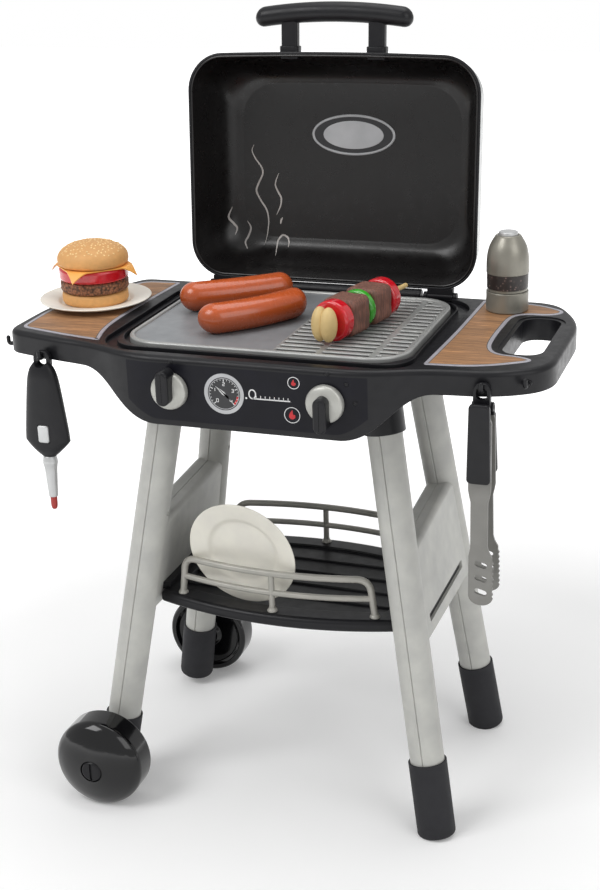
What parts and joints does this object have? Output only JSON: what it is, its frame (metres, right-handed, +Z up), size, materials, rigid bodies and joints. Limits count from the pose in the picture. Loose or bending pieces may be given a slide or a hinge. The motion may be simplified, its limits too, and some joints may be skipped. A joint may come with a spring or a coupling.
{
  "type": "toy barbecue grill",
  "caption": "Toy barbecue grill on leaning legs with wheels, a hinged lid, a cooking plate, side shelves, a lower shelf, turning knobs, hanging tools and pretend food.",
  "frame": {"origin": "middle of the footprint, on the floor", "axes": "+Z up, -Y towards the child who plays, +X towards the carrying grip, wheels at -X"},
  "size_m": [0.5282, 0.3681, 0.7369],
  "materials": {
    "frame": "satin",
    "sleeve": "matte",
    "black": "satin",
    "gloss": "gloss",
    "steel": "silver paint",
    "lid": "silver paint",
    "rail": "satin",
    "wood": "printed wood grain",
    "dish": "satin",
    "bun": "matte",
    "patty": "matte",
    "tomato": "gloss",
    "cheese": "satin",
    "sausage": "gloss",
    "meat": "matte",
    "pepper": "gloss",
    "cream": "matte",
    "mill": "metallic paint",
    "flame": "satin"
  },
  "bodies": {
    "frame": {"side_frame_right_outer": "frame", "side_frame_right_inner": "frame", "side_frame_left_outer": "frame", "side_frame_left_inner": "frame", "foot_sleeve_right_front": "sleeve", "foot_sleeve_left_front": "sleeve", "foot_sleeve_right_back": "sleeve", "foot_sleeve_left_back": "sleeve", "wheel_axle_front": "gloss", "wheel_axle_back": "gloss", "table_top": "black", "wood_inlay_left": "wood", "wood_inlay_right": "wood", "lid_hinge_pin_right": "steel", "lid_hinge_pin_left": "steel", "click_tongue": "steel", "hook_front_left": "black", "hook_front_right": "black", "hook_right_end": "black", "hook_left_end": "black", "lower_shelf": "black", "rail_front": "rail", "rail_back": "rail"},
    "wheel_front": {"wheel_front": "gloss"},
    "wheel_back": {"wheel_back": "gloss"},
    "lid": {"lid_outer_shell": "lid", "lid_inner_liner": "black", "lid_handle": "black"},
    "knob_left": {"knob_left_dial": "steel", "knob_left_lever": "black"},
    "knob_right": {"knob_right_dial": "steel", "knob_right_lever": "black", "ratchet_wheel": "black"},
    "cooking_plate": {"cooking_plate": "steel"},
    "sausage_rear": {"sausage_rear": "sausage"},
    "sausage_front": {"sausage_front": "sausage"},
    "kebab": {"kebab_stick": "cream", "kebab_tomato_front": "tomato", "kebab_meat_front": "meat", "kebab_pepper": "pepper", "kebab_meat_back": "meat", "kebab_tomato_back": "tomato"},
    "plate_upper": {"plate_upper": "dish"},
    "burger": {"bun_bottom": "bun", "patty": "patty", "burger_tomato": "tomato", "cheese_slice": "cheese", "bun_top": "bun"},
    "plate_lower": {"plate_lower": "dish"},
    "mill_base": {"mill_base": "mill"},
    "mill_body": {"mill_body": "mill"},
    "mill_button": {"mill_button": "mill"},
    "lighter": {"lighter_body": "black", "lighter_barrel": "steel", "lighter_flame": "flame"},
    "lighter_trigger": {"lighter_trigger": "steel"},
    "tongs": {"tongs_arm_front": "steel", "tongs_grip_front": "black"},
    "tongs_rear": {"tongs_arm_rear": "steel", "tongs_grip_rear": "black"}
  },
  "joints": [
    {"name": "wheel_front_spin", "type": "hinge", "parent": "frame", "child": "wheel_front", "pos_m": [-0.1558, -0.1523, 0.045], "axis": [0, 1, 0], "continuous": true},
    {"name": "wheel_back_spin", "type": "hinge", "parent": "frame", "child": "wheel_back", "pos_m": [-0.1558, 0.1277, 0.045], "axis": [0, 1, 0], "continuous": true},
    {"name": "lid_hinge", "type": "hinge", "parent": "frame", "child": "lid", "pos_m": [0.0048, 0.1039, 0.4602], "axis": [-1, 0, 0], "range_deg": [-94.2, 0]},
    {"name": "knob_left_turn", "type": "hinge", "parent": "frame", "child": "knob_left", "pos_m": [-0.0642, -0.1433, 0.43], "axis": [0, 1, 0], "range_deg": [-135, 135]},
    {"name": "knob_right_turn", "type": "hinge", "parent": "frame", "child": "knob_right", "pos_m": [0.0803, -0.1433, 0.43], "axis": [0, 1, 0], "continuous": true},
    {"name": "cooking_plate_lift", "type": "slide", "parent": "frame", "child": "cooking_plate", "axis": [0, 0, 1], "range_m": [0, 0.06]},
    {"name": "sausage_rear_lift", "type": "slide", "parent": "cooking_plate", "child": "sausage_rear", "axis": [0, 0, 1], "range_m": [0, 0.06]},
    {"name": "sausage_front_lift", "type": "slide", "parent": "cooking_plate", "child": "sausage_front", "axis": [0, 0, 1], "range_m": [0, 0.06]},
    {"name": "kebab_lift", "type": "slide", "parent": "cooking_plate", "child": "kebab", "axis": [0, 0, 1], "range_m": [0, 0.06]},
    {"name": "plate_upper_lift", "type": "slide", "parent": "frame", "child": "plate_upper", "axis": [0, 0, 1], "range_m": [0, 0.06]},
    {"name": "burger_lift", "type": "slide", "parent": "plate_upper", "child": "burger", "axis": [0, 0, 1], "range_m": [0, 0.06]},
    {"name": "plate_lower_lift", "type": "slide", "parent": "frame", "child": "plate_lower", "axis": [-0.0121, -0.1732, 0.9848], "range_m": [0, 0.06]},
    {"name": "mill_lift", "type": "slide", "parent": "frame", "child": "mill_base", "axis": [0, 0, 1], "range_m": [0, 0.06]},
    {"name": "mill_twist", "type": "hinge", "parent": "mill_base", "child": "mill_body", "pos_m": [0.1903, 0.0733, 0.5], "axis": [0, 0, 1], "continuous": true},
    {"name": "mill_press", "type": "slide", "parent": "mill_body", "child": "mill_button", "axis": [0, 0, -1], "range_m": [0, 0.002], "stiffness_N_per_m": 150, "springref_m": -0.002},
    {"name": "lighter_swing", "type": "hinge", "parent": "frame", "child": "lighter", "pos_m": [-0.2042, -0.1273, 0.4415], "axis": [0, 1, 0], "range_deg": [-25, 25]},
    {"name": "lighter_trigger_press", "type": "slide", "parent": "lighter", "child": "lighter_trigger", "axis": [0, 1, 0], "range_m": [0, 0.003], "stiffness_N_per_m": 150, "springref_m": -0.002},
    {"name": "tongs_swing", "type": "hinge", "parent": "frame", "child": "tongs", "pos_m": [0.2118, -0.1243, 0.4465], "axis": [0, 1, 0], "range_deg": [-25, 6]},
    {"name": "tongs_squeeze", "type": "hinge", "parent": "tongs", "child": "tongs_rear", "pos_m": [0.2118, -0.1201, 0.431], "axis": [1, 0, 0], "range_deg": [-8, 0], "stiffness_Nm_per_rad": 0.05, "springref_deg": 11.46}
  ]
}
